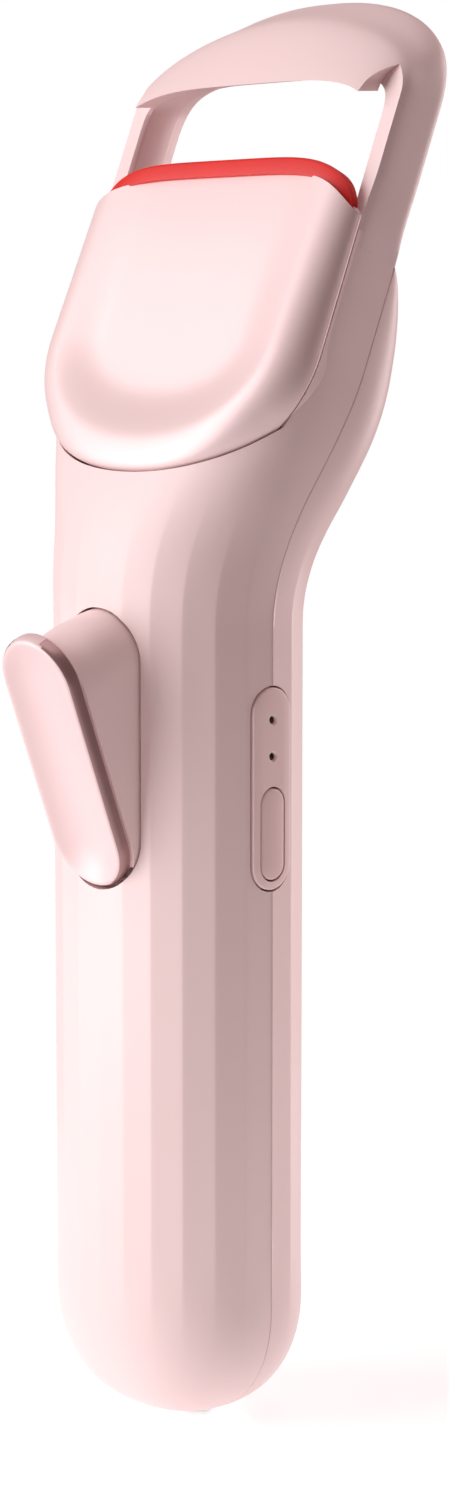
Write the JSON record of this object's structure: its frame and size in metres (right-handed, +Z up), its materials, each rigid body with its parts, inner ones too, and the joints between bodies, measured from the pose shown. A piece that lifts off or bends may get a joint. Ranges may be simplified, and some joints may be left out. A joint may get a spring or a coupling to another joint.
{
  "type": "eyelash curler",
  "caption": "Handheld trigger-operated heated eyelash curler: faceted handle, leaning head with an arch, and a spring-loaded jaw with a red pad that slides up to the arch",
  "frame": {"origin": "mouth of the charging socket on the handle axis at the bottom tip of the handle", "axes": "+Z up along the handle, -Y toward the trigger (front), +X toward the power button (right side)"},
  "size_m": [0.0386, 0.0453, 0.1497],
  "materials": {
    "front_shell": "satin soft-touch pale pink",
    "rear_cover": "satin soft-touch pale pink",
    "side_panel": "satin dusty pink",
    "light_pipe_upper": "dark tinted clear plastic",
    "light_pipe_lower": "dark tinted clear plastic",
    "circuit_board": "green solder mask",
    "status_leds": "white package",
    "tact_switch": "black",
    "usb_c_socket": "plain steel",
    "usb_board": "green solder mask",
    "battery": "blue sleeve",
    "battery_cradle": "natural white",
    "battery_leads": "red insulation",
    "chassis": "natural white",
    "trigger_pin": "ground steel",
    "guide_rods": "ground steel",
    "guide_bracket_lower": "natural white",
    "guide_bracket_upper": "natural white",
    "bracket_screws": "zinc plated",
    "trigger_lever": "satin pale pink",
    "trigger_plate": "satin metallic rose",
    "trigger_spring": "spring steel",
    "jaw_carriage": "natural white",
    "follower_pin": "ground steel",
    "front_plate": "satin metallic rose",
    "heater_block": "machined",
    "heating_element": "white ceramic",
    "thermistor": "black bead",
    "silicone_pad": "matte red silicone",
    "power_button": "satin dusty pink"
  },
  "bodies": {
    "handle": {"front_shell": "front_shell", "rear_cover": "rear_cover", "side_panel": "side_panel", "light_pipe_upper": "light_pipe_upper", "light_pipe_lower": "light_pipe_lower", "circuit_board": "circuit_board", "status_leds": "status_leds", "tact_switch": "tact_switch", "usb_c_socket": "usb_c_socket", "usb_board": "usb_board", "battery": "battery", "battery_cradle": "battery_cradle", "battery_leads": "battery_leads", "chassis": "chassis", "trigger_pin": "trigger_pin", "guide_rods": "guide_rods", "guide_bracket_lower": "guide_bracket_lower", "guide_bracket_upper": "guide_bracket_upper", "bracket_screws": "bracket_screws"},
    "trigger": {"trigger_lever": "trigger_lever", "trigger_plate": "trigger_plate", "trigger_spring": "trigger_spring"},
    "jaw": {"jaw_carriage": "jaw_carriage", "follower_pin": "follower_pin", "front_plate": "front_plate", "heater_block": "heater_block", "heating_element": "heating_element", "thermistor": "thermistor", "silicone_pad": "silicone_pad"},
    "button": {"power_button": "power_button"}
  },
  "joints": [
    {"name": "trigger_hinge", "type": "hinge", "parent": "handle", "child": "trigger", "pos_m": [0, -0.0056, 0.0605], "axis": [-1, 0, 0], "range_deg": [0, 14.5], "stiffness_Nm_per_rad": 0.15, "springref_deg": -20.05},
    {"name": "jaw_slide", "type": "slide", "parent": "handle", "child": "jaw", "axis": [0, 0.3907, 0.9205], "range_m": [0, 0.008]},
    {"name": "button_press", "type": "slide", "parent": "handle", "child": "button", "axis": [-1, 0, 0], "range_m": [0, 0.0005], "stiffness_N_per_m": 400, "springref_m": -0.0006}
  ],
  "couplings": [
    {"joint": "trigger_hinge", "follows": "jaw_slide", "rad_per_m": 31.62}
  ]
}
